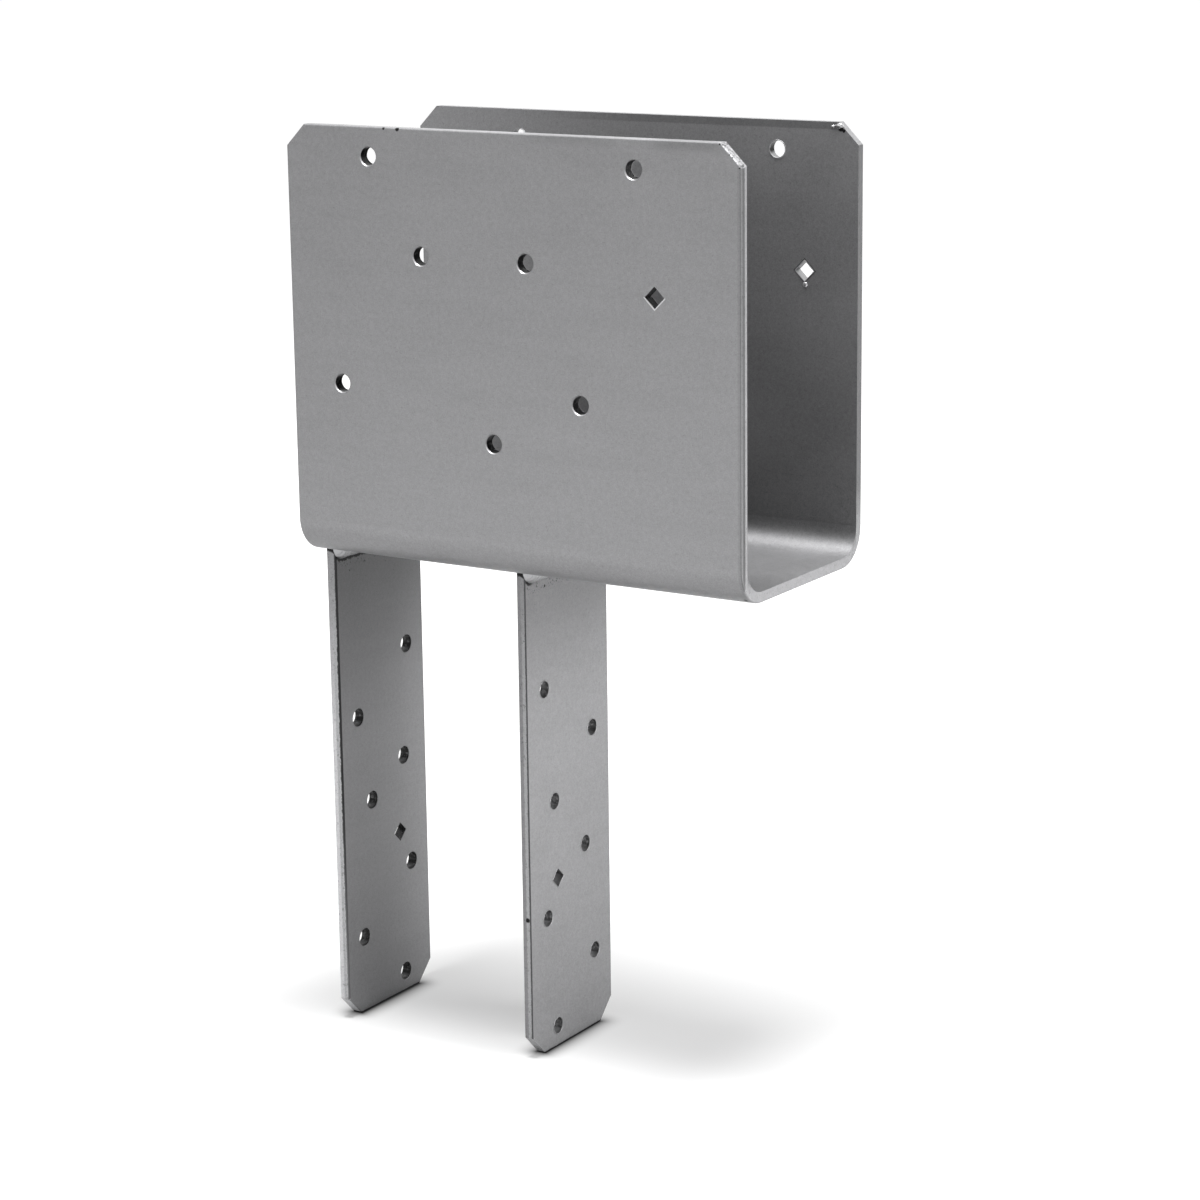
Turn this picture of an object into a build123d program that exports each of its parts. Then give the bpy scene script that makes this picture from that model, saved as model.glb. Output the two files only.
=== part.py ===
from build123d import *
import math
import os

# Column end cap: a folded steel saddle that holds a beam, on two straps that run down a column.
# X runs along the beam from the outer end to the inner end, Y across it, and Z up.
# The origin is on the ground between the strap feet, under the middle of the saddle.

# Saddle
sheet = 4.55
beam_gap = 92.1
side_height = 177.8
seat_length = 215.9
bend_inside = 11.35
corner_clip = 9.0

# Straps
strap_sheet = 4.55
strap_width = 63.5
strap_drop = 215.9
strap_clip = 9.5
post_gap = 93.0

# Rounding that shearing leaves along an outline, on the side where the blade goes in
edge_roll = 0.8

# Holes: round ones for structural screws, and a square that stands on its corner
screw_hole = 7.5
diamond_side = 6.35

# Bevel that punching leaves at the mouth of a round hole, on that same side
mouth_bevel = 0.45

# Side plates: rows of screw holes, hung from the top edge or standing on the seat
top_row_drop = 12.0
second_row_drop = 51.5
third_row_rise = 71.0
lowest_row_rise = 51.7

# Holes in each row, by their distance from the outer or the inner end
top_row = [("outer", 41.3), ("inner", 47.9)]
second_row = [("outer", 66.4), ("outer", 117.0)]
third_row = [("outer", 25.0), ("inner", 73.7)]
lowest_row = [("outer", 100.3)]

# The far plate's screws are staggered, so that they pass between the near plate's
far_stagger = 10.5

# Side plates: diamond holes, by their drop from the top edge and distance from the inner end
diamond_drop = 61.4
near_diamond_from_end = 38.8
far_diamond_from_end = 24.6

# Straps: screw holes in rows up from the foot, on lanes beside the middle line
strap_first_row = 9.4
strap_row_step = 25.4
strap_rows = 7
edge_lane_inset = 13.05
inner_lane = 12.0
strap_diamond_row = 76.2
strap_diamond_lane = 10.3

# Outer strap: two holes that leave the shared pattern, and how many rows lie below each
rows_below_raised = 3
raised_by = 10.9
raised_lane = 10.0
rows_below_wide = 4
wide_lane = 14.7

# Fillet welds: leg, how far the crown's centre lies inside the corner, and the rounding of the ends
weld_leg = 6.0
weld_centre_depth = 2.5
weld_end_round = 4.2

# Extra length of a cutter past the sheet, and the slack for finding edges by their place
cut_past = 2.0
near_enough = 0.01

# Levels and faces that follow from the sizes above
seat_under = strap_drop
seat_top = seat_under + sheet
plate_top = seat_top + side_height
half_width = beam_gap / 2 + sheet
half_length = seat_length / 2
bend_outside = bend_inside + sheet
outer_strap_x = -half_length
inner_strap_x = outer_strap_x + strap_sheet + post_gap


def same(one, other):
    """True where two lengths agree."""
    return abs(one - other) < near_enough


def saddle_section():
    """Cross-section of the folded sheet, looking along the beam."""
    wall = beam_gap / 2
    outside = FilletPolyline(
        (-half_width, plate_top), (-half_width, seat_under),
        (half_width, seat_under), (half_width, plate_top), radius=bend_outside)
    inside = FilletPolyline(
        (wall, plate_top), (wall, seat_top), (-wall, seat_top), (-wall, plate_top), radius=bend_inside)
    far_lip = Line(outside @ 1, inside @ 0)
    near_lip = Line(inside @ 1, outside @ 0)
    return make_face(outside.edges() + far_lip.edges() + inside.edges() + near_lip.edges())


def saddle_blank():
    """The folded sheet with its four top corners clipped, before any rounding or holes."""
    start = Plane.YZ.offset(-half_length)
    blank = extrude(start * saddle_section(), seat_length)
    corners = [
        edge for edge in blank.edges().filter_by(Axis.Y)
        if same((edge @ 0.5).Z, plate_top) and same(abs((edge @ 0.5).X), half_length)]
    return chamfer(corners, corner_clip)


def on_outer_skin(point):
    """True where a point lies on the outside of the fold."""
    bend_centre_y = half_width - bend_outside
    bend_centre_z = seat_under + bend_outside
    if point.Z > bend_centre_z:
        return same(abs(point.Y), half_width)
    if abs(point.Y) < bend_centre_y:
        return same(point.Z, seat_under)
    from_centre = math.hypot(abs(point.Y) - bend_centre_y, bend_centre_z - point.Z)
    return same(from_centre, bend_outside)


def on_outline(point):
    """True on the sheared outline, and false on the straight lines where a bend begins."""
    return not same(point.X, 0) or same(point.Z, plate_top)


def roll_outline(blank):
    """Round the outline of the saddle's outer skin."""
    rolled = [edge for edge in blank.edges() if on_outer_skin(edge @ 0.5) and on_outline(edge @ 0.5)]
    return fillet(rolled, edge_roll)


def along_seat(end, distance):
    """Place on X of a hole that is measured from the outer or the inner end."""
    return distance - half_length if end == "outer" else half_length - distance


def side_hole_places(stagger):
    """Places on X and Z of one side plate's screw holes."""
    rows = [
        (top_row, plate_top - top_row_drop),
        (second_row, plate_top - second_row_drop),
        (third_row, seat_top + third_row_rise),
        (lowest_row, seat_top + lowest_row_rise)]
    return [(along_seat(end, distance) + stagger, level) for row, level in rows for end, distance in row]


def side_cutters(side, stagger, diamond_from_end):
    """Cutters for one side plate's holes; side is -1 for the near plate and 1 for the far one."""
    middle = side * (beam_gap + sheet) / 2
    screw = Rot(90, 0, 0) * Cylinder(screw_hole / 2, sheet + cut_past)
    diamond = Rot(0, 45, 0) * Box(diamond_side, sheet + cut_past, diamond_side)
    cutters = [Pos(x, middle, z) * screw for x, z in side_hole_places(stagger)]
    cutters.append(Pos(half_length - diamond_from_end, middle, plate_top - diamond_drop) * diamond)
    return cutters


def bevel_mouths(punched, on_entry_face):
    """Bevel the mouths of the round holes, on the face where the punch goes in."""
    mouths = [
        edge for edge in punched.edges().filter_by(GeomType.CIRCLE)
        if edge.is_closed and on_entry_face(edge @ 0)]
    return chamfer(mouths, mouth_bevel)


def make_saddle():
    """The folded saddle with its punched side plates."""
    near = side_cutters(-1, 0, near_diamond_from_end)
    far = side_cutters(1, far_stagger, far_diamond_from_end)
    punched = roll_outline(saddle_blank()) - (near + far)
    return bevel_mouths(punched, on_outer_skin)


def on_rolled_face(point):
    """True where a point lies on the face of an unturned strap that the blade and punch enter."""
    return same(point.X, strap_sheet)


def strap_blank():
    """A flat strap, from x = 0 to its rolled face, before its holes."""
    blank = Pos(strap_sheet / 2, 0, strap_drop / 2) * Box(strap_sheet, strap_width, strap_drop)
    feet = [edge for edge in blank.edges().filter_by(Axis.X) if same((edge @ 0.5).Z, 0)]
    blank = chamfer(feet, strap_clip)
    rolled = [
        edge for edge in blank.edges()
        if on_rolled_face(edge @ 0.5) and not same((edge @ 0.5).Z, strap_drop)]
    return fillet(rolled, edge_roll)


def shared_strap_holes():
    """Lane and row height of each screw hole, up from the foot, seen in an unturned strap."""
    edge_lane = strap_width / 2 - edge_lane_inset
    cycle = [inner_lane, -edge_lane, edge_lane, -inner_lane]
    return [
        (cycle[row % len(cycle)], strap_first_row + row * strap_row_step)
        for row in range(strap_rows)]


def outer_strap_holes():
    """The shared pattern, with the two holes that leave it."""
    holes = shared_strap_holes()
    holes[rows_below_raised] = (-raised_lane, holes[rows_below_raised][1] + raised_by)
    holes[rows_below_wide] = (wide_lane, holes[rows_below_wide][1])
    return holes


def make_strap(holes):
    """A punched strap, standing with its back on x = 0."""
    middle = strap_sheet / 2
    screw = Rot(0, 90, 0) * Cylinder(screw_hole / 2, strap_sheet + cut_past)
    diamond = Rot(45, 0, 0) * Box(strap_sheet + cut_past, diamond_side, diamond_side)
    cutters = [Pos(middle, lane, row) * screw for lane, row in holes]
    cutters.append(Pos(middle, strap_diamond_lane, strap_diamond_row) * diamond)
    return bevel_mouths(strap_blank() - cutters, on_rolled_face)


def make_outer_strap():
    """The strap flush with the saddle's outer end."""
    return Pos(outer_strap_x, 0, 0) * make_strap(outer_strap_holes())


def make_inner_strap():
    """The other strap, given half a turn to face the first across the post."""
    return Pos(inner_strap_x + strap_sheet, 0, 0) * Rot(0, 0, 180) * make_strap(shared_strap_holes())


def weld_block():
    """Block that fills the corner between strap and seat, with its two ends rounded off."""
    block = Pos(weld_leg / 2, 0, -weld_leg / 2) * Box(weld_leg, strap_width, weld_leg)
    ends = [
        edge for edge in block.edges()
        if same(abs((edge @ 0.5).Y), strap_width / 2)
        and (same((edge @ 0.5).X, weld_leg) or same((edge @ 0.5).Z, -weld_leg))]
    return fillet(ends, weld_end_round)


def make_weld(face_x):
    """Fillet weld with a crowned face, from a strap's +X face to the seat."""
    crown_radius = math.hypot(weld_leg + weld_centre_depth, weld_centre_depth)
    crown_axis = Pos(-weld_centre_depth, 0, weld_centre_depth) * Rot(90, 0, 0)
    crown = crown_axis * Cylinder(crown_radius, strap_width)
    return Pos(face_x, 0, seat_under) * (weld_block() & crown)


os.makedirs("parts", exist_ok=True)
pieces = {
    "saddle": make_saddle(),
    "outer_strap": make_outer_strap(),
    "inner_strap": make_inner_strap(),
    "outer_strap_weld": make_weld(outer_strap_x + strap_sheet),
    "inner_strap_weld": make_weld(inner_strap_x + strap_sheet),
}
for name, piece in pieces.items():
    export_step(piece, "parts/" + name + ".step")
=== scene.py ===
# %% [markdown]
# # Column end cap: a welded steel saddle on two straps
#
# The real object is folded and welded from thick steel sheet, then painted a satin grey. Its shape comes
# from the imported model, whose pieces load first and stay as they are. This lesson gives them their paint
# and their sheared edges, adds the welds' ripples and the small marks of the workshop, and sets up a studio
# with a camera.

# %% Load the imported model
import math

import bpy
from mathutils import Euler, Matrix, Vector


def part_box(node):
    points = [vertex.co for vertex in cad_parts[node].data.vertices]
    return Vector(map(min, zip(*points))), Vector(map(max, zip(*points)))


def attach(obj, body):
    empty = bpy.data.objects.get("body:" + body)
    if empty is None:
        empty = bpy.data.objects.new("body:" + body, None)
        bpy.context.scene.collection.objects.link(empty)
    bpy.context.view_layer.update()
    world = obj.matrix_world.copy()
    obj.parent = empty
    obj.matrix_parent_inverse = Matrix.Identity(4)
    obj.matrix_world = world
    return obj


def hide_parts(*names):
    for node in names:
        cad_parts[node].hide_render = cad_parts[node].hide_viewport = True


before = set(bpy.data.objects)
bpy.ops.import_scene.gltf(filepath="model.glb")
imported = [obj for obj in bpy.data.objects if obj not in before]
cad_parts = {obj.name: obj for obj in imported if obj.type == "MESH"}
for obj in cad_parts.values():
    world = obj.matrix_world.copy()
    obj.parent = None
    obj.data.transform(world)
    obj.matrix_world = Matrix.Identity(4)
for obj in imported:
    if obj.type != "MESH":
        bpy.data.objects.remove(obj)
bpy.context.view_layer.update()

print("pieces:", sorted(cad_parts))

# %% [markdown]
# ## Sizes read from the pieces
#
# Every later step needs to know where an edge, a face or a corner lies. Measuring the loaded pieces is
# safer than writing numbers again, because a change to the model then moves the welds and most marks along
# with it. The near plate is the side of the saddle towards the camera, and the far plate is the other.

# %% Measure the saddle and the straps
saddle_low, saddle_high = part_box("saddle")
outer_low, outer_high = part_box("outer_strap")
inner_low, inner_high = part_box("inner_strap")
SHEET = outer_high.x - outer_low.x
SEAT_UNDER = saddle_low.z
SEAT_TOP = SEAT_UNDER + SHEET
MM = 0.001
print("sheet", round(SHEET / MM, 2), "mm, seat underside at", round(SEAT_UNDER / MM, 1), "mm")


# %% [markdown]
# ## Shader maths as plain expressions
#
# A painted surface varies a little everywhere, and each variation is a small sum of textures. Wiring Math
# nodes by hand hides that sum. This class wraps one socket, so that an expression such as `1 - mask * 0.5`
# adds the nodes.

# %% A socket that can be added and multiplied
class Wire:
    """One output socket of a material, with arithmetic."""

    def __init__(self, tree, socket):
        self.tree = tree
        self.socket = socket

    def node(self, kind, settings=None, sockets=None, out=0):
        """Add a node of any kind: first its settings, then the values or wires of its sockets."""
        new = self.tree.nodes.new(kind)
        for name, value in (settings or {}).items():
            setattr(new, name, value)
        for name, value in (sockets or {}).items():
            if isinstance(value, Wire):
                self.tree.links.new(value.socket, new.inputs[name])
            else:
                new.inputs[name].default_value = value
        return Wire(self.tree, new.outputs[out])

    def math(self, operation, *others):
        """A Math node with this socket as its first value."""
        values = dict(enumerate([self, *others]))
        return self.node("ShaderNodeMath", {"operation": operation}, values)

    def __add__(self, other):
        return self.math("ADD", other)

    __radd__ = __add__

    def __mul__(self, other):
        return self.math("MULTIPLY", other)

    __rmul__ = __mul__

    def __sub__(self, other):
        return self.math("SUBTRACT", other)

    def __rsub__(self, other):
        return self * -1 + other

    def above(self, edge, width):
        """0 below the edge, 1 above it, and smooth over a width between."""
        settings = {"interpolation_type": "SMOOTHSTEP"}
        sockets = {0: self, 1: edge - width / 2, 2: edge + width / 2}
        return self.node("ShaderNodeMapRange", settings, sockets)

    def below(self, edge, width):
        """1 below the edge and 0 above it."""
        return 1 - self.above(edge, width)

    def mixed(self, one, other):
        """A colour between two others, with this socket as the share of the second."""
        return self.node("ShaderNodeMix", {"data_type": "RGBA"}, {0: self, 6: one, 7: other}, out=2)

    def split(self):
        """The three parts of a vector, each as a wire of its own."""
        parts = self.node("ShaderNodeSeparateXYZ", sockets={0: self}).socket.node.outputs
        return [Wire(self.tree, part) for part in parts]


def either(*wires):
    """The largest of several masks."""
    most = wires[0]
    for wire in wires[1:]:
        most = most.math("MAXIMUM", wire)
    return most


def between(wire, low, high, width):
    """1 between two levels."""
    return wire.above(low, width) * wire.below(high, width)


# %% [markdown]
# ## Where a finish starts
#
# All the finishes read Object coordinates. Each piece sits at the origin with its place in its mesh, so
# those are metres in the object's own frame, and a pattern runs on from one piece to the next without
# stretching.

# %% Start a finish and read its place
BLUE_TRACE = 1.02


def noise(place, size, detail=2.0, stretch=(1, 1, 1)):
    """Cloudy noise with lumps of about this size in millimetres, longer along an axis by its stretch."""
    scale = [1 / factor for factor in stretch]
    moved = place.node("ShaderNodeMapping", {"vector_type": "POINT"}, {"Vector": place, "Scale": scale})
    sockets = {"Vector": moved, "Scale": 1 / (size * MM), "Detail": detail, "Roughness": 0.55}
    return place.node("ShaderNodeTexNoise", {"noise_dimensions": "3D"}, sockets)


class Finish:
    """A material with a Principled shader, and wires for the place, for facing up and for a fine noise."""

    def __init__(self, name):
        self.material = bpy.data.materials.new(name)
        self.material.use_nodes = True
        tree = self.material.node_tree
        self.shader = tree.nodes["Principled BSDF"]
        self.place = Wire(tree, tree.nodes.new("ShaderNodeTexCoord").outputs["Object"])
        self.x, self.y, self.z = self.place.split()
        self.up = self.place.node("ShaderNodeNewGeometry", out="Normal").split()[2]
        self.mottle = noise(self.place, 1.7, 3)
        self.fray = (self.mottle - 0.5) * MM

    def feed(self, name, wire):
        """Link a wire to one of the shader's sockets."""
        wire.tree.links.new(wire.socket, self.shader.inputs[name])

    def colour_grey(self, grey):
        """Feed a grey with a trace of blue."""
        parts = {0: grey, 1: grey, 2: grey * BLUE_TRACE}
        self.feed("Base Color", grey.node("ShaderNodeCombineColor", {"mode": "RGB"}, parts))

    def feed_bump(self, height, depth):
        """Raise the surface where the wire is high, by a depth in metres."""
        sockets = {"Height": height, "Distance": depth, "Strength": 0.5}
        self.feed("Normal", height.node("ShaderNodeBump", sockets=sockets))

    def set_metal(self, share):
        """How much the shader reflects as metal does."""
        self.shader.inputs["Metallic"].default_value = share

    def spot(self, point, radius):
        """1 near a point, fading out at a frayed radius, both in millimetres."""
        sockets = {0: self.place, 1: [value * MM for value in point]}
        far = self.place.node("ShaderNodeVectorMath", {"operation": "DISTANCE"}, sockets, out=1)
        return (far + self.fray).below(radius * MM, radius * MM * 0.5)

    def reach_from(self, point):
        """How far a place lies from a point along x and z together, so that equal reach draws a diamond."""
        return (self.x - point.x).math("ABSOLUTE") + (self.z - point.z).math("ABSOLUTE")


# %% [markdown]
# ## The paint
#
# The paint is a thin satin grey over mill steel. Close up it is not even: there are faint clouds a few
# centimetres wide, a fine mottle of a millimetre or two, and a few dark specks. Sheared edges take the
# paint worse, so they look lighter and rougher, with small chips. One finish holds all of this, and each
# piece says where its edges are, and where painted shade and painted highlights lie.

# %% Mix the paint
# Greys of the paint and of burnished metal and painted highlights, then how far each texture, mark or
# painted shade changes the grey
FACE_GREY = 0.21
BURNISH_AND_HIGHLIGHT_GREY = 0.5
CLOUD_DEPTH = 0.16
SMEAR_DEPTH = 0.10
MOTTLE_DEPTH = 0.36
GRAIN_DEPTH = 0.42
SPECK_DEPTH = 0.14
CHIP_DEPTH = 0.3
DARK_MARK_AND_SHADE_DEPTH = 0.97
HOLE_SHADE_DEPTH = 0.65

# Roughness of the bare paint, and how much it reflects as metal does
SATIN = 0.54
METAL_SHARE = 0.8


def steel_paint(name, edge_grey, edge_mask, hole_shade_and_highlight_mask, dark_marks_and_shade_mask):
    """Satin grey paint, with masks for the sheared edges, for the punched holes, and for dark marks and
    painted shade.

    The holes' mask is a pair: painted shade on their torn walls, and painted highlights with some burnished
    metal.
    """
    finish = Finish(name)
    clouds = noise(finish.place, 38, 3)
    smears = noise(finish.place, 7, 2, stretch=(9, 9, 1))
    grain = noise(finish.place, 0.55, 1)
    specks = noise(finish.place, 0.8, 0).above(0.78, 0.05)
    mottle = finish.mottle
    edge = edge_mask(finish)
    level = 1 + (clouds - 0.5) * CLOUD_DEPTH + (smears - 0.5) * SMEAR_DEPTH
    level = level + (mottle - 0.5) * MOTTLE_DEPTH + (grain - 0.5) * GRAIN_DEPTH
    level = level * (1 - specks * SPECK_DEPTH)
    chips = noise(finish.place, 1.4, 2).above(0.66, 0.06) * edge
    # Painted shade on the holes' walls, in patches, and painted highlights with some burnished metal
    shade_patches = noise(finish.place, 1.6, 1).above(0.44, 0.16)
    hole_wall_shade, burnish_and_highlight = hole_shade_and_highlight_mask(finish)
    hole_shade = (hole_wall_shade * (HOLE_SHADE_DEPTH + shade_patches * (1 - HOLE_SHADE_DEPTH))).math("MINIMUM", 1.0)
    # Dark marks and painted shade from the piece's own mask, joined with the holes' painted shade
    dark_marks_and_shade = either(dark_marks_and_shade_mask(finish), hole_shade)
    grey = (level * FACE_GREY) * (1 - edge) + (level * edge_grey) * edge
    grey = grey * (1 - chips * CHIP_DEPTH) * (1 - dark_marks_and_shade * DARK_MARK_AND_SHADE_DEPTH)
    finish.colour_grey(grey * (1 - burnish_and_highlight) + burnish_and_highlight * BURNISH_AND_HIGHLIGHT_GREY)
    roughness = SATIN + (clouds - 0.5) * 0.12 + (mottle - 0.5) * 0.10
    finish.feed("Roughness", roughness + edge * 0.12 - either(hole_wall_shade, burnish_and_highlight) * 0.2)
    height = (mottle - 0.5) * 0.5 + (grain - 0.5) * 0.35
    height = height + edge * (noise(finish.place, 0.8, 2) - 0.5) * 1.6
    finish.feed_bump(height, 0.06 * MM)
    finish.set_metal(METAL_SHARE)
    print("finish", name, "has", len(finish.material.node_tree.nodes), "nodes")
    return finish.material


def paint(node, material):
    """Put one finish on a loaded piece."""
    node.data.materials.clear()
    node.data.materials.append(material)


# %% [markdown]
# ## The saddle's edges and marks
#
# The ends, the top edges and the clipped corners are sheared, so they show as thin bright lines. The blade
# rolls the steel over where it goes in, and on the near plate's end painted shade darkens the rolled-over
# part of the thickness, so only its far part is bright; the far plate's end gets painted shade too. The
# near clip is torn to flakes, with painted shadow in the gaps between them. The walls of the punched holes
# get painted shade, nearly black, and their up-facing floors and lower rims get painted highlights. The
# rest of the marks are small: dull smears under the near plate's top edge, a darker strip under the far
# plate's, a few nicks, spots of painted shadow below the far corner's tag, and painted shade deep inside
# the channel. Masks on the coordinates draw all of them, because each lies at a known place.

# %% Paint the saddle
THIN = 0.05 * MM
INNER_WALL = saddle_high.y - SHEET
CLIP = 9 * MM
CLIP_REACH = saddle_high.x + saddle_high.z - CLIP
BEVEL = 0.45 * MM
DIAMOND_DROP = 61.4 * MM
DIAMOND_HALF = 4.4 * MM
NEAR_FROM_END = 38.8 * MM
FAR_FROM_END = 24.6 * MM
NEAR_DIAMOND = Vector((saddle_high.x - NEAR_FROM_END, saddle_low.y, saddle_high.z - DIAMOND_DROP))
FAR_DIAMOND = Vector((saddle_high.x - FAR_FROM_END, INNER_WALL, saddle_high.z - DIAMOND_DROP))

# Nicks, and spots of painted shadow below the far corner's tag and on the near clip: a point on the saddle
# and a radius, all in millimetres
SADDLE_NICKS_AND_SHADE_SPOTS = (
    ((-58.5, -50.6, 398.0), 0.7),
    ((-51.6, -50.6, 397.8), 0.9),
    ((105.6, -43.0, 218.6), 1.0),
    ((99.8, 46.05, 395.6), 1.2),
    ((101.2, 46.05, 394.8), 0.7),
    ((98.6, -50.5, 397.6), 0.45),
    ((107.2, -50.2, 388.8), 0.5),
    ((103.0, -50.5, 393.7), 0.35),
)


def saddle_edges(at):
    """The saddle's two ends, its top edges and its clipped corners."""
    reach = at.x.math("ABSOLUTE")
    return either(
        reach.above(saddle_high.x - THIN, THIN), at.z.above(saddle_high.z - THIN, THIN),
        (reach + at.z).above(CLIP_REACH - THIN, THIN))


def near_clip(at):
    """The clipped corner at the near plate's inner end, where the shear tore the steel."""
    on_clip = (at.x + at.z).above(CLIP_REACH - 0.6 * MM, 0.3 * MM)
    return on_clip * at.y.below(-INNER_WALL + 0.1 * MM, 0.05 * MM)


def saddle_holes(at):
    """Two masks for the plates' holes, which lie in the sheet, clear of its outline.

    One is painted shade on the torn walls. The other is painted highlight, with some burnished metal: the
    far holes' up-facing floors, the lower half of each bevelled mouth, the lower rim of the near diamond
    and the flakes on the near clip.
    """
    depth = at.y.math("ABSOLUTE")
    reach = at.x.math("ABSOLUTE")
    clear_of_clip = (reach + at.z).below(CLIP_REACH - 2 * MM, MM)
    clear_of_outline = reach.below(saddle_high.x - 2 * MM, MM) * at.z.below(saddle_high.z - 2 * MM, MM)
    clear_of_bend = at.z.above(SEAT_UNDER + 25 * MM, MM)
    clear = clear_of_clip * clear_of_outline * clear_of_bend
    wall = clear * between(depth, INNER_WALL + 0.1 * MM, saddle_high.y - BEVEL, 0.04 * MM)
    # Painted highlights on up-facing floors, on the lower mouths and on the near diamond's lower rim
    far_floor = at.up.above(0.45, 0.5) * at.y.above(0, MM)
    mouth = clear * between(depth, saddle_high.y - BEVEL, saddle_high.y - 0.02 * MM, 0.02 * MM)
    on_rim = between(at.reach_from(NEAR_DIAMOND), DIAMOND_HALF, DIAMOND_HALF + 0.7 * MM, 0.1 * MM)
    lower_rim = on_rim * at.z.below(NEAR_DIAMOND.z, MM)
    near_rim_highlight = lower_rim * at.y.below(NEAR_DIAMOND.y + 0.05 * MM, 0.05 * MM)
    mouth_highlight = mouth * at.up.above(0.2, 0.5) * 0.8
    flakes = near_clip(at) * noise(at.place, 1.2, 2).above(0.52, 0.1) * 0.55
    burnish_and_highlight = either(wall * far_floor, mouth_highlight, near_rim_highlight * 0.85, flakes)
    return wall * (1 - far_floor) * 1.2, burnish_and_highlight


def top_marks(at, on_near, on_far):
    """Dull smears under the near plate's top edge, and a darker strip under the far plate's top edge."""
    under_top = (at.z + at.fray * 2).above(saddle_high.z - 3.5 * MM, 3 * MM)
    left_smear = between(at.x + at.fray * 4, 10 * MM, 50 * MM, 16 * MM) * 0.08
    right_smear = between(at.x + at.fray * 4, 70 * MM, 98 * MM, 12 * MM) * 0.18
    smears = on_near * under_top * (left_smear + right_smear)
    dark_strip_under_top = on_far * (at.z + at.fray).above(saddle_high.z - 3.1 * MM, 0.6 * MM)
    return either(smears, dark_strip_under_top * at.x.above(-20 * MM, 90 * MM) * 0.3)


def painted_shade_inside(at):
    """Painted shade in the channel, the deeper near the seat and away from the ends."""
    # Painted shade deep in the channel, where little light reaches
    on_inside = at.y.math("ABSOLUTE").below(INNER_WALL + 0.1 * MM, 0.05 * MM)
    inside = on_inside * at.z.above(SEAT_TOP + 4 * MM, 8 * MM)
    depth = (saddle_high.z - at.z).math("DIVIDE", saddle_high.z - SEAT_TOP)
    from_end = (saddle_high.x - at.x.math("ABSOLUTE")) * (1 / saddle_high.x)
    return inside * depth * depth * (0.44 + from_end * 0.32)


def painted_end_shades(at, on_near):
    """Painted shade on the inner ends of both plates, and on the near plate's rolled-over edge."""
    # Painted shade on the far plate's end and on the near plate's rolled-over end
    up_the_plate = at.z.above(SEAT_UNDER + 22 * MM, 30 * MM)
    far_end_shade = at.y.above(0, MM) * at.x.above(saddle_high.x - THIN, THIN) * up_the_plate * 0.5
    from_skin = at.y - saddle_low.y + at.fray * 0.3
    up_the_end = at.z.above(SEAT_UNDER + 6 * MM, 14 * MM) * at.x.above(saddle_high.x - 0.6 * MM, 0.3 * MM)
    deepening = 0.44 + from_skin.above(1.2 * MM, 1.6 * MM) * 0.2
    rolled_over_shade = from_skin.below(2.9 * MM, 0.5 * MM) * deepening * up_the_end
    from_end_face = saddle_high.x - at.x + at.fray * 0.5
    roll_shade_line = on_near * between(from_end_face, 0.2 * MM, 1.6 * MM, 0.6 * MM) * 0.12
    return either(far_end_shade, rolled_over_shade, roll_shade_line)


def saddle_marks(at):
    """Smears, a darker strip, painted shade on the ends and in the clip's gaps, nicks and shadow spots, and
    painted shade inside.
    """
    on_near = at.y.below(-INNER_WALL, 2 * MM)
    on_far = between(at.y, INNER_WALL - 0.1 * MM, INNER_WALL + 0.1 * MM, 0.05 * MM)
    round_diamond = at.reach_from(FAR_DIAMOND) + at.fray * 0.3
    outline = on_far * between(round_diamond, DIAMOND_HALF, DIAMOND_HALF + 0.9 * MM, 0.3 * MM) * 0.7
    nicks_and_dark_spots = either(*[at.spot(point, radius) for point, radius in SADDLE_NICKS_AND_SHADE_SPOTS])
    # Painted shadow in the gaps between the near clip's torn flakes
    clip_shadow_gaps = near_clip(at) * noise(at.place, 1.0, 2).below(0.4, 0.08) * 0.7
    wide_marks = either(top_marks(at, on_near, on_far), painted_shade_inside(at), painted_end_shades(at, on_near))
    return either(nicks_and_dark_spots, wide_marks, outline, clip_shadow_gaps)


SADDLE_EDGE_GREY = 0.24
saddle_paint = steel_paint("saddle_paint", SADDLE_EDGE_GREY, saddle_edges, saddle_holes, saddle_marks)
paint(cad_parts["saddle"], saddle_paint)


# %% [markdown]
# ## Soot, undercut and painted shade on the straps
#
# A bead's toe bites into the strap, and the undercut gets a line of painted shade; heat leaves soot on
# the strap's end beside it, and painted shade darkens the corner under the seat. A sheared edge has a
# smooth band where the blade cut and a darker band where the steel broke, and a dark line runs along its
# corner.
# The feet and the upper ends under the saddle's overhang get painted shade too. All of it lies at known
# heights and widths, so a few masks draw it, and the fine mottle frays their borders.

# %% Paint the straps
BEAD_LEG = 6 * MM
BEAD_END = 6 * MM
STRAP_HALF = outer_high.y
STRAP_CLIP = 9.5 * MM
STRAP_NICKS = (((-7.6, -31.75, 62.8), 1.0), ((-5.85, -17.0, 206.5), 0.6))


def strap_edges(at):
    """A strap's two long edges, its foot and its clipped corners."""
    reach = at.y.math("ABSOLUTE")
    return either(
        reach.above(STRAP_HALF - THIN, THIN), at.z.below(THIN, THIN),
        (reach - at.z).above(STRAP_HALF - STRAP_CLIP - THIN, THIN))


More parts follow.
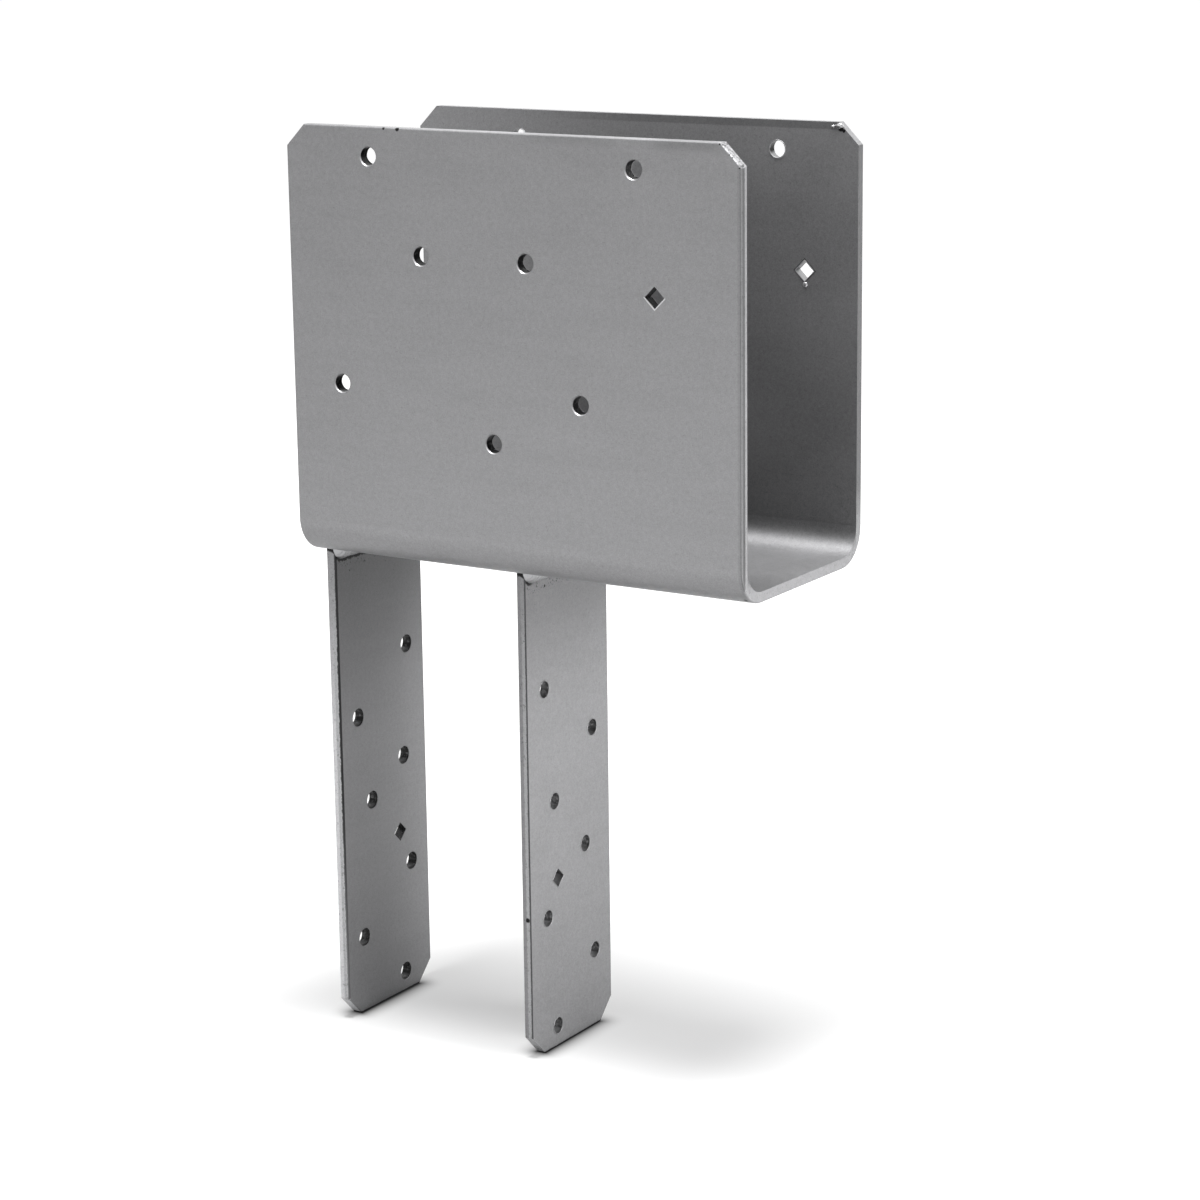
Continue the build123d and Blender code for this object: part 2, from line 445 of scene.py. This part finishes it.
def toe_shade_and_soot(at, high, width, middle_depth):
    """Painted shade on the undercut along a bead's toe, deepest near the strap's edges, soot beside it, and
    painted shade on the upper corners.
    """
    reach = at.y.math("ABSOLUTE")
    shortfall = (reach - (STRAP_HALF - BEAD_END * 0.75)).math("DIVIDE", BEAD_END).math("MAXIMUM", 0.0)
    depth = (1 - shortfall * shortfall).math("MAXIMUM", 0.0).math("SQRT") * BEAD_LEG
    gap = SEAT_UNDER - depth - at.z + at.fray * 1.6 + (noise(at.place, 0.8, 2) - 0.5) * 1.8 * MM
    # The undercut line and the corner under the seat are painted shade; the soot beside the toe is the
    # strap's own
    line = between(gap, -0.5 * MM, width, 0.35 * MM)
    soot = between(gap, 0, 5 * MM, 3 * MM) * noise(at.place, 0.9, 2).above(0.6, 0.08)
    on_face = at.x.above(high.x - 1.2 * MM, 0.6 * MM) * reach.below(STRAP_HALF - 0.1 * MM, 0.05 * MM)
    below_seat = SEAT_UNDER - at.z + (high.x - at.x) * 0.35 + at.fray * 2
    corner = reach.above(STRAP_HALF - 0.1 * MM, 0.05 * MM) * below_seat.below(4 * MM, 1.4 * MM)
    bite = middle_depth + reach.above(STRAP_HALF - 5 * MM, 4 * MM) * (1 - middle_depth)
    return either(line * on_face * bite, soot * on_face * 0.8, corner)


def strap_holes(at, low, high, darkness, floor_share):
    """Two masks for a strap's holes, clear of its outline: painted shade on their walls, painted highlight
    on their floors.
    """
    reach = at.y.math("ABSOLUTE")
    clear_of_clip = (reach - at.z).below(STRAP_HALF - STRAP_CLIP - 3 * MM, MM)
    clear_of_outline = reach.below(STRAP_HALF - 2 * MM, MM) * clear_of_clip
    clear_of_ends = between(at.z, 3 * MM, SEAT_UNDER - 8 * MM, MM)
    in_sheet = between(at.x, low.x + 0.2 * MM, high.x - 0.2 * MM, 0.1 * MM)
    wall = in_sheet * clear_of_outline * clear_of_ends
    # Painted highlight on the up-facing floors, and painted shade on the rest of the walls
    floor_of_hole = at.up.above(0.7, 0.4) * floor_share
    return wall * (1 - floor_of_hole) * darkness, wall * floor_of_hole


def outer_strap_holes(at):
    """The outer strap's holes, with the darker painted shade of the two."""
    return strap_holes(at, outer_low, outer_high, darkness=1.3, floor_share=0.12)


def inner_strap_holes(at):
    """The inner strap's holes."""
    return strap_holes(at, inner_low, inner_high, darkness=0.85, floor_share=0.36)


def outer_strap_soot_and_shade(at):
    """The toe's shade and soot, a dark line along the rolled long edge, and painted shade at the foot and
    the upper end.
    """
    edge = at.y.math("ABSOLUTE").above(STRAP_HALF - 0.75 * MM, 0.2 * MM)
    on_roll = (at.x + at.fray * 1.2).above(outer_high.x - 0.9 * MM, 0.3 * MM)
    # Painted shade at the foot and on the upper end under the saddle's overhang, also deepening the edge
    # line upwards
    upper = at.z.above(60 * MM, 100 * MM)
    foot_shade = (at.z + at.fray * 0.5).below(1.0 * MM, 0.5 * MM)
    overhang_shade = at.z.above(SEAT_UNDER - 50 * MM, 100 * MM) * 0.5
    band = between(at.x + at.fray * 0.8, outer_high.x - 2.6 * MM, outer_high.x - 1.1 * MM, 0.3 * MM)
    toe = toe_shade_and_soot(at, outer_high, 1.4 * MM, middle_depth=1.0)
    return either(toe, edge * on_roll * (0.5 + upper * 0.43), foot_shade, overhang_shade, edge * band * 0.3)


def inner_strap_soot_and_shade(at):
    """The toe's shade and soot, a fine dark line along the sharp edge, painted shade at the foot and a
    little at the upper end, and two nicks.
    """
    edge = at.y.math("ABSOLUTE").above(STRAP_HALF - 0.05 * MM, 0.03 * MM)
    sharp_line = edge * (at.x + at.fray * 0.6).above(inner_high.x - 0.8 * MM, 0.25 * MM)
    # Painted shade at the foot, and a little on the upper end under the saddle's overhang
    foot_shade = (at.z + at.fray * 0.5).below(0.8 * MM, 0.5 * MM)
    band = (at.x + at.fray * 0.8).below(inner_low.x + 2.2 * MM, 0.4 * MM)
    nicks_and_dark_spots = either(*[at.spot(point, radius) for point, radius in STRAP_NICKS])
    overhang_shade = at.z.above(SEAT_UNDER - 30 * MM, 60 * MM) * 0.28
    toe = toe_shade_and_soot(at, inner_high, 1.2 * MM, middle_depth=0.35)
    return either(toe, sharp_line * 0.8, foot_shade, overhang_shade, edge * band * 0.35, nicks_and_dark_spots)


# For each strap, the grey of its sheared edges, its holes, and its soot and painted shade
STRAP_FINISHES = {
    # The outer strap's edges get a lighter grey than the inner's as a painted highlight
    "outer_strap": (0.46, outer_strap_holes, outer_strap_soot_and_shade),
    "inner_strap": (0.29, inner_strap_holes, inner_strap_soot_and_shade),
}
for strap, (edge_grey, holes_of, soot_and_shade_of) in STRAP_FINISHES.items():
    paint(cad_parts[strap], steel_paint(strap + "_paint", edge_grey, strap_edges, holes_of, soot_and_shade_of))


# %% Mix the paint over the welds
WELD_GREY = 0.30


def stored(finish, label):
    """A number that a recipe left on each point of the mesh."""
    return finish.place.node("ShaderNodeAttribute", {"attribute_name": label}, out=2)


def weld_paint(name):
    """Paint over a weld, with painted shade in the grooves between crescents and along the toes."""
    finish = Finish(name)
    grain = noise(finish.place, 0.5, 1)
    mottle = finish.mottle
    toe = stored(finish, "toe").above(0.9, 0.16)
    groove = stored(finish, "groove").above(0.8, 0.4)
    level = 1 + (mottle - 0.5) * 0.3 + (grain - 0.5) * 0.2
    # Painted shade along the toes and in the grooves between the crescents
    finish.colour_grey(level * WELD_GREY * (1 - toe * 0.75) * (1 - groove * 0.35))
    finish.feed("Roughness", 0.36 + (mottle - 0.5) * 0.16 + toe * 0.3)
    finish.feed_bump(mottle, 0.08 * MM)
    finish.set_metal(METAL_SHARE)
    return finish.material


bead_paint = weld_paint("weld_paint")


# %% [markdown]
# ## Shapes that follow a rule
#
# A weld bead, a rim of burr round a hole and a scatter of spatter all follow a rule, so Geometry Nodes make
# them. A recipe is a node tree with a named input for each size. Cooking it on an empty object, or on a
# copy of a loaded piece, gives a plain mesh, and the modifier is then taken off.

# %% Helpers for recipes
SOCKET_KINDS = {float: "NodeSocketFloat", int: "NodeSocketInt", tuple: "NodeSocketVector"}


def new_recipe(name, sizes):
    """A node tree with a mesh, a finish and one named input for each size, and wires for all of them."""
    tree = bpy.data.node_groups.new(name, "GeometryNodeTree")
    tree.interface.new_socket("Shape", in_out="OUTPUT", socket_type="NodeSocketGeometry")
    tree.interface.new_socket("Mesh", in_out="INPUT", socket_type="NodeSocketGeometry")
    tree.interface.new_socket("Finish", in_out="INPUT", socket_type="NodeSocketMaterial")
    for label, value in sizes.items():
        socket = tree.interface.new_socket(label, in_out="INPUT", socket_type=SOCKET_KINDS[type(value)])
        socket.default_value = value
    start = tree.nodes.new("NodeGroupInput")
    wires = {socket.name: Wire(tree, socket) for socket in start.outputs if socket.name}
    return tree, wires


def serve(shape, wires):
    """End a recipe: make copies real, give them their finish and pass them out."""
    real = shape.node("GeometryNodeRealizeInstances", sockets={0: shape})
    dressed = real.node("GeometryNodeSetMaterial", sockets={"Geometry": real, "Material": wires["Finish"]})
    out = shape.tree.nodes.new("NodeGroupOutput")
    shape.tree.links.new(dressed.socket, out.inputs["Shape"])


def cook(name, tree, sizes, finish, source=None):
    """Run a recipe with these sizes and keep the result as a plain mesh of its own."""
    mesh = source.data.copy() if source else bpy.data.meshes.new(name)
    piece = bpy.data.objects.new(name, mesh)
    bpy.context.scene.collection.objects.link(piece)
    recipe = piece.modifiers.new(name, "NODES")
    recipe.node_group = tree
    values = {**sizes, "Finish": finish}
    for item in tree.interface.items_tree:
        if item.in_out == "INPUT" and item.name in values:
            recipe[item.identifier] = values[item.name]
    evaluated = piece.evaluated_get(bpy.context.evaluated_depsgraph_get())
    result = bpy.data.meshes.new_from_object(evaluated)
    piece.modifiers.remove(recipe)
    piece.data = result
    result.name = name
    result.set_sharp_from_angle(angle=math.radians(50))
    print(name, "has", len(result.polygons), "faces")
    return piece


def ride_along(piece):
    """Fix a piece to the one body."""
    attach(piece, "root")


# %% [markdown]
# ## The weld beads
#
# A welder lays each fillet bead from one side of the strap to the other, and the pool freezes in small
# crescents. A bead could be sculpted, but its shape is a rule: a quarter of a pie swept along the corner,
# swollen into crescents, rounded off where the pool ends, and wandering a little at its toes. So it is
# swept along a line.

# %% Write the recipe of a bead
BEAD_STEPS = 200
PIE_STEPS = 11
SWAY_SCALE = 160.0
BEAD_SIZES = {
    "Corner": (0.0, 0.0, 0.0),
    "Length": 0.066,
    "Leg": BEAD_LEG,
    "End Round": BEAD_END,
    "Crown": 0.1,
    "Ripple Pitch": 0.0026,
    "Ripple Height": 0.05,
    "Ripple Sweep": 0.0016,
    "Wander": 0.12,
    "Seed": 3,
}


def bead_recipe():
    """A crowned fillet bead along y, in the corner of a face that looks along x and one that looks down."""
    tree, size = new_recipe("weld_bead", BEAD_SIZES)
    corner = size["Corner"]
    half = corner.node("ShaderNodeCombineXYZ", sockets={1: size["Length"] * 0.5})
    start = corner.node("ShaderNodeVectorMath", {"operation": "SUBTRACT"}, {0: corner, 1: half})
    end = corner.node("ShaderNodeVectorMath", {"operation": "ADD"}, {0: corner, 1: half})
    line = corner.node("GeometryNodeCurvePrimitiveLine", sockets={"Start": start, "End": end})
    path = line.node("GeometryNodeResampleCurve", sockets={"Curve": line, "Count": BEAD_STEPS})

    travelled = path.node("GeometryNodeSplineParameter", out=1)
    to_end = travelled.math("MINIMUM", size["Length"] - travelled)
    shortfall = (1 - to_end.math("DIVIDE", size["End Round"])).math("MAXIMUM", 0.0)
    rounding = (1 - shortfall * shortfall).math("MAXIMUM", 0.0).math("SQRT")
    seed = size["Seed"] * 10.0
    lane = travelled.node("ShaderNodeCombineXYZ", sockets={0: travelled, 1: seed})
    sway = lane.node("ShaderNodeTexNoise", sockets={"Vector": lane, "Scale": SWAY_SCALE, "Detail": 2.0})
    thickness = size["Leg"] * rounding * (1 + (sway - 0.5) * size["Wander"])

    pie = path.node("GeometryNodeCurveArc", sockets={
        "Resolution": PIE_STEPS, "Radius": 1.0, "Start Angle": 0.0, "Sweep Angle": math.radians(90),
        "Connect Center": True})
    swept = path.node("GeometryNodeCurveToMesh", sockets={
        "Curve": path, "Profile Curve": pie, "Scale": thickness, "Fill Caps": False})

    place = swept.node("GeometryNodeInputPosition")
    from_corner = place.node("ShaderNodeVectorMath", {"operation": "SUBTRACT"}, {0: place, 1: corner})
    across, along, down = from_corner.split()
    reach = (across * across + down * down).math("SQRT").math("MAXIMUM", 1e-5)
    side = (across + down).math("DIVIDE", reach)
    phase = (along + side * side * size["Ripple Sweep"]).math("DIVIDE", size["Ripple Pitch"])
    saw = phase.math("FRACT") * 2.0 - 1.0
    lump = 1 - saw * saw
    on_toe = side * side
    swell = lump * size["Ripple Height"] - (1 - on_toe) * size["Crown"]
    radial = from_corner.node("ShaderNodeCombineXYZ", sockets={0: across, 2: down})
    push = radial.node("ShaderNodeVectorMath", {"operation": "SCALE"}, {0: radial, "Scale": swell})
    on_points = {"data_type": "FLOAT", "domain": "POINT"}
    toed = swept.node("GeometryNodeStoreNamedAttribute", on_points, {
        "Geometry": swept, "Name": "toe", "Value": on_toe})
    grooved = toed.node("GeometryNodeStoreNamedAttribute", on_points, {
        "Geometry": toed, "Name": "groove", "Value": 1 - lump})
    rippled = grooved.node("GeometryNodeSetPosition", sockets={"Geometry": grooved, "Offset": push})
    closed = rippled.node("GeometryNodeMergeByDistance", sockets={"Geometry": rippled, "Distance": 2e-5})
    serve(closed, size)
    return tree


bead = bead_recipe()

# %% Lay one bead in the corner of each strap and the seat
BEAD_OVERRUN = 1.6 * MM
BEAD_SINK = 0.15 * MM
STRAP_CORNERS = (("outer_strap", outer_high), ("inner_strap", inner_high))
for seed, (name, strap_high) in enumerate(STRAP_CORNERS):
    bead_sizes = {
        "Corner": (strap_high.x - BEAD_SINK, 0.0, SEAT_UNDER + BEAD_SINK),
        "Length": strap_high.y * 2 + BEAD_OVERRUN * 2,
        "Seed": 3 + seed * 4,
    }
    weld_bead = cook(name + "_weld_bead", bead, bead_sizes, bead_paint)
    ride_along(weld_bead)
    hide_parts(name + "_weld")


# %% [markdown]
# ## Spatter
#
# Drops of steel jump out of the pool and freeze on the cold metal around it, most of them small. Placing
# them one by one would look arranged, so a recipe scatters points on a patch and sets a squashed ball with
# few faces on each. The patch keeps clear of the holes.

# %% Scatter the spatter below each bead
SPATTER_SIZES = {
    "Patch Middle": (0.0, 0.0, 0.0),
    "Patch Turn": (0.0, 0.0, 0.0),
    "Patch Across": 0.05,
    "Patch Along": 0.01,
    "Density": 40000.0,
    "Smallest": 0.0002,
    "Largest": 0.0005,
    "Seed": 1,
}


def spatter_recipe():
    """Half-sunk drops scattered over a flat patch, most of them small."""
    tree, size = new_recipe("spatter", SPATTER_SIZES)
    centre = size["Patch Middle"]
    grid = centre.node("GeometryNodeMeshGrid", sockets={
        "Size X": size["Patch Across"], "Size Y": size["Patch Along"], "Vertices X": 2, "Vertices Y": 2})
    patch = grid.node("GeometryNodeTransform", sockets={
        "Geometry": grid, "Translation": centre, "Rotation": size["Patch Turn"]})
    points = patch.node("GeometryNodeDistributePointsOnFaces", {"distribute_method": "RANDOM"}, {
        "Mesh": patch, "Density": size["Density"], "Seed": size["Seed"]})
    turn = Wire(tree, points.socket.node.outputs["Rotation"])
    chance = points.node("FunctionNodeRandomValue", {"data_type": "FLOAT"}, {
        "Min": 0.0, "Max": 1.0, "Seed": size["Seed"]}, out=1)
    radius = size["Smallest"] + chance * chance * chance * (size["Largest"] - size["Smallest"])
    squash = radius.node("ShaderNodeCombineXYZ", sockets={0: radius, 1: radius, 2: radius * 0.7})
    ball = points.node("GeometryNodeMeshIcoSphere", sockets={"Radius": 1.0, "Subdivisions": 2})
    drops = points.node("GeometryNodeInstanceOnPoints", sockets={
        "Points": points, "Instance": ball, "Rotation": turn, "Scale": squash})
    serve(drops, size)
    return tree


spatter = spatter_recipe()
FACING_X = (0.0, math.radians(90), 0.0)
FACING_DOWN = (math.radians(180), 0.0, 0.0)
for seed, (name, strap_high) in enumerate(STRAP_CORNERS):
    on_strap = {
        "Patch Middle": (strap_high.x, -8 * MM, SEAT_UNDER - BEAD_LEG - 7 * MM),
        "Patch Turn": FACING_X,
        "Patch Across": 12 * MM,
        "Patch Along": 42 * MM,
        "Density": 32000.0,
        "Seed": 5 + seed,
    }
    on_seat = {
        "Patch Middle": (strap_high.x + BEAD_LEG + 8 * MM, 4 * MM, SEAT_UNDER),
        "Patch Turn": FACING_DOWN,
        "Patch Across": 14 * MM,
        "Patch Along": 52 * MM,
        "Density": 30000.0,
        "Seed": 15 + seed,
    }
    ride_along(cook(name + "_spatter", spatter, on_strap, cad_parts[name].data.materials[0]))
    ride_along(cook(name + "_seat_spatter", spatter, on_seat, saddle_paint))


# %% [markdown]
# ## Burrs round the holes
#
# A punch leaves a soft edge where it goes in and pushes up a thin burr where it comes out: on the inside of
# the saddle, and on the side of the inner strap that faces along x. The recipe finds those rims by itself.
# It merges a copy of the loaded piece, takes the sharp edges on one face, turns them into curves, keeps the
# short ones, which are holes, and sweeps a thin uneven bead along each.

# %% Raise the burrs
MERGE_WITHIN = 1e-5
ON_FACE_WITHIN = 2e-5
RIM_STEPS = 40
RING_STEPS = 6
THINNEST = 0.25
BURR_SIZES = {
    "Face Point": (0.0, 0.0, 0.0),
    "Face Normal": (0.0, 1.0, 0.0),
    "Longest Rim": 0.03,
    "Thickness": 0.00022,
    "Unevenness": 0.9,
    "Seed": 1,
}


def burr_recipe():
    """A fine bead along every hole's rim on one flat face."""
    tree, size = new_recipe("punch_burr", BURR_SIZES)
    whole = size["Mesh"].node("GeometryNodeMergeByDistance", sockets={
        "Geometry": size["Mesh"], "Distance": MERGE_WITHIN})
    place = whole.node("GeometryNodeInputPosition")
    away = place.node("ShaderNodeVectorMath", {"operation": "SUBTRACT"}, {0: place, 1: size["Face Point"]})
    sockets = {0: away, 1: size["Face Normal"]}
    height = away.node("ShaderNodeVectorMath", {"operation": "DOT_PRODUCT"}, sockets, out=1)
    off_face = height.math("ABSOLUTE")
    sharp = whole.node("GeometryNodeInputMeshEdgeAngle").math("GREATER_THAN", math.radians(60))
    rim_edge = sharp * off_face.math("LESS_THAN", ON_FACE_WITHIN)
    rims = whole.node("GeometryNodeMeshToCurve", sockets={"Mesh": whole, "Selection": rim_edge})
    length = rims.node("GeometryNodeSplineLength")
    too_long = length.math("GREATER_THAN", size["Longest Rim"])
    holes = rims.node("GeometryNodeDeleteGeometry", {"domain": "CURVE"}, {
        "Geometry": rims, "Selection": too_long})
    even = holes.node("GeometryNodeResampleCurve", sockets={"Curve": holes, "Count": RIM_STEPS})
    seed = size["Seed"] * 1.0
    spot = even.node("GeometryNodeInputPosition")
    grain = spot.node("ShaderNodeTexNoise", {"noise_dimensions": "4D"}, {
        "Vector": spot, "W": seed, "Scale": 420.0, "Detail": 2.0})
    unevenness = 1 + (grain - 0.5) * 2.0 * size["Unevenness"]
    thickness = size["Thickness"] * unevenness.math("MAXIMUM", THINNEST)
    ring = even.node("GeometryNodeCurvePrimitiveCircle", sockets={"Resolution": RING_STEPS, "Radius": 1.0})
    bead_mesh = even.node("GeometryNodeCurveToMesh", sockets={
        "Curve": even, "Profile Curve": ring, "Scale": thickness})
    serve(bead_mesh, size)
    return tree


burr = burr_recipe()
burr_places = {
    "near_plate_burrs": ("saddle", (0.0, -INNER_WALL, 0.0), (0.0, 1.0, 0.0)),
    "far_plate_burrs": ("saddle", (0.0, INNER_WALL, 0.0), (0.0, 1.0, 0.0)),
    "inner_strap_burrs": ("inner_strap", (inner_high.x, 0.0, 0.0), (1.0, 0.0, 0.0)),
}
for seed, (name, (source, point, normal)) in enumerate(burr_places.items()):
    sizes = {"Face Point": point, "Face Normal": normal, "Seed": seed}
    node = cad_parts[source]
    ride_along(cook(name, burr, sizes, node.data.materials[0], node))


# %% [markdown]
# ## Torn tags
#
# Shears tear a tag where two cuts meet: at the far plate's top corner, at both ends of the near plate's
# clip and at the start of the straps' clips. The paint gathers in a drop below the far diamond's lowest
# corner. All are single lumps with no rule to them, so a small ball is squashed and pushed about by noise.

# %% Make the tags and the drop
import bmesh
from mathutils import noise as lumps

LUMP_NOISE_SCALE = 1.7

# For each lump, its middle and radii in millimetres, and how uneven it is
LUMPS = {
    "corner_tag": ((98.6, 46.6, 396.6), (2.4, 1.1, 1.3), 0.5),
    "corner_tag_curl": ((96.2, 46.1, 396.4), (1.0, 0.6, 0.6), 0.4),
    "paint_drop": ((83.6, 46.1, 331.2), (1.1, 0.7, 1.2), 0.15),
    "clip_tag_upper": ((99.4, -49.4, 397.4), (1.1, 1.0, 0.6), 0.5),
    "clip_tag_lower": ((106.9, -49.3, 389.8), (0.7, 1.0, 1.1), 0.5),
    "outer_strap_tag": ((outer_high.x / MM - 0.9, -31.1, 9.6), (0.9, 0.5, 0.9), 0.4),
    "inner_strap_tag": ((inner_high.x / MM - 0.7, -31.1, 9.5), (0.8, 0.5, 0.8), 0.4),
}


def make_lump(name, middle_mm, radii_mm, roughness, finish):
    """A closed lump at a place on the object, with its surface pushed about by noise."""
    mesh = bpy.data.meshes.new(name)
    shape = bmesh.new()
    bmesh.ops.create_icosphere(shape, subdivisions=3, radius=1)
    for vertex in shape.verts:
        bulge = 1 + roughness * lumps.noise(vertex.co * LUMP_NOISE_SCALE + Vector(middle_mm))
        vertex.co = Vector([
            (centre + radius * part * bulge) * MM
            for centre, radius, part in zip(middle_mm, radii_mm, vertex.co)])
    shape.to_mesh(mesh)
    shape.free()
    mesh.materials.append(finish)
    mesh.polygons.foreach_set("use_smooth", [True] * len(mesh.polygons))
    lump = bpy.data.objects.new(name, mesh)
    bpy.context.scene.collection.objects.link(lump)
    ride_along(lump)
    print(name, "has", len(mesh.polygons), "faces")


for name, (middle_mm, radii_mm, roughness) in LUMPS.items():
    make_lump(name, middle_mm, radii_mm, roughness, bead_paint)

# %% [markdown]
# ## Floor and backdrop
#
# The picture has a plain white ground that keeps only the object's shadow. A white floor alone looks grey
# at its far end, so it glows a little. Light Path limits the glow to what the camera sees, directly or in a
# reflection, and keeps it off the light that only bounces about. Beside the feet, ground and glow are
# darkened as a painted contact shadow, where two surfaces that meet shut out each other's light.

# %% Build the floor
FLOOR_SIZE = 24
SEEN_KINDS = ("Camera", "Glossy", "Transmission")
FEET = ((outer_low, outer_high), (inner_low, inner_high))
FOOT_SHADOW = 12 * MM
FOOT_DARKNESS = 0.95
BLACK = (0, 0, 0, 1)
BOUNCING_WHITE = (0.86, 0.86, 0.86, 1)
SEEN_WHITE = (0.40, 0.40, 0.40, 1)


def seen_directly(tree):
    """1 for the camera, in reflections and through glass, and 0 for light that only bounces about."""
    path = tree.nodes.new("ShaderNodeLightPath")
    return either(*[Wire(tree, path.outputs["Is " + kind + " Ray"]) for kind in SEEN_KINDS])


def beside_foot(place, low, high):
    """Painted contact shadow: 1 at a strap's foot, fading out a few millimetres away."""
    sides = ((low.x, high.x), (low.y + STRAP_CLIP, high.y - STRAP_CLIP))
    gaps = []
    for part, (start, end) in zip(place.split(), sides):
        from_middle = (part - (start + end) / 2).math("ABSOLUTE")
        gaps.append((from_middle - (end - start) / 2).math("MAXIMUM", 0.0))
    nearness = 1 - (gaps[0] * gaps[0] + gaps[1] * gaps[1]).math("SQRT") * (1 / FOOT_SHADOW)
    nearness = nearness.math("MAXIMUM", 0.0)
    return nearness * nearness


def white_ground(name, near_light, near, far):
    """White matt ground that glows where it is seen: fully far off and less near, with a painted contact
    shadow at the feet.
    """
    material = bpy.data.materials.new(name)
    material.use_nodes = True
    tree = material.node_tree
    tree.nodes.clear()
    seen = seen_directly(tree)
    place = Wire(tree, tree.nodes.new("ShaderNodeTexCoord").outputs["Object"])
    away = place.node("ShaderNodeVectorMath", {"operation": "LENGTH"}, {0: place}, out=1)
    # Painted contact shadow: the ground's colour and glow darken beside each foot
    outside_painted_shadow = 1 - either(*[beside_foot(place, low, high) for low, high in FEET]) * FOOT_DARKNESS
    glow_level = (near_light + away.above((near + far) / 2, far - near) * (1 - near_light)) * outside_painted_shadow
    white = (seen * outside_painted_shadow).mixed(BOUNCING_WHITE, SEEN_WHITE)
    white = outside_painted_shadow.mixed(BLACK, white)
    matt = seen.node("ShaderNodeBsdfDiffuse", sockets={"Color": white})
    glow = seen.node("ShaderNodeEmission", sockets={"Color": (1, 1, 1, 1), "Strength": seen * glow_level})
    both = seen.node("ShaderNodeAddShader", sockets={0: matt, 1: glow})
    out = tree.nodes.new("ShaderNodeOutputMaterial")
    tree.links.new(both.socket, out.inputs["Surface"])
    return material


def make_floor(size):
    """A flat square floor at the straps' feet."""
    mesh = bpy.data.meshes.new("floor")
    half = size / 2
    corners = [(-half, -half, 0), (half, -half, 0), (half, half, 0), (-half, half, 0)]
    mesh.from_pydata(corners, [], [(0, 1, 2, 3)])
    floor = bpy.data.objects.new("floor", mesh)
    bpy.context.scene.collection.objects.link(floor)
    floor.data.materials.append(white_ground("white_ground", near_light=0.52, near=0.3, far=1.2))


make_floor(FLOOR_SIZE)

# %% [markdown]
# ## Studio light
#
# Painted steel shows mostly what it reflects, so the white room does most of the work. A soft box overhead
# gives the top edges their bright line and throws the shadow, and one on the right lights the straps and
# the ends of the sheet. Two low reflectors lift the bottom of the near plate and the feet, and a faint box
# in front fills in the rest. All are plain white, so the paint keeps its own grey.

# %% Hang the lamps and light the room
def soft_box(name, place, aim, width, height, watts):
    """An area lamp that points at a place."""
    lamp = bpy.data.lights.new(name, "AREA")
    lamp.shape = "RECTANGLE"
    lamp.size = width
    lamp.size_y = height
    lamp.energy = watts
    box = bpy.data.objects.new(name, lamp)
    bpy.context.scene.collection.objects.link(box)
    box.location = place
    box.rotation_euler = (Vector(aim) - Vector(place)).to_track_quat("-Z", "Y").to_euler()
    box.visible_camera = False


def light_room(strength):
    """A world that lights evenly, and is pure white to the camera and in reflections."""
    world = bpy.data.worlds.new("room")
    bpy.context.scene.world = world
    world.use_nodes = True
    tree = world.node_tree
    seen = seen_directly(tree)
    background = tree.nodes["Background"]
    background.inputs["Color"].default_value = (1, 1, 1, 1)
    tree.links.new((seen * (1 - strength) + strength).socket, background.inputs["Strength"])


MIDDLE = (0, 0, 0.22)
soft_box("front_box", (-1.2, -2.0, 1.0), MIDDLE, width=0.9, height=0.6, watts=0.3)
soft_box("low_reflector", (-0.15, -0.55, 0.03), (0, 0, 0.25), width=0.7, height=0.15, watts=0.95)
soft_box("side_reflector", (0.62, 0.02, 0.04), (0, 0, 0.06), width=0.3, height=0.12, watts=2.6)
soft_box("right_box", (1.8, 0.3, 1.0), MIDDLE, width=0.8, height=0.8, watts=27)
soft_box("top_box", (0.15, -0.2, 2.0), MIDDLE, width=0.9, height=0.3, watts=82)
light_room(0.02)

# %% [markdown]
# ## Camera
#
# The picture was taken with a long lens from the right and a little above. Its place was worked out from
# the corners and holes of the real object, so the camera is set by numbers and not by eye.

# %% Place the camera
lens = bpy.data.cameras.new("studio_camera")
lens.sensor_width = 36
lens.lens = 97.55
lens.clip_end = 50
camera = bpy.data.objects.new("studio_camera", lens)
bpy.context.scene.collection.objects.link(camera)
camera.location = (0.71806, -1.13051, 0.51495)
camera.rotation_euler = Euler([math.radians(angle) for angle in (76.6583, 0.6952, 31.8669)])
bpy.context.scene.camera = camera
bpy.context.scene.view_settings.view_transform = "Standard"
print("camera at", tuple(round(value, 3) for value in camera.location))
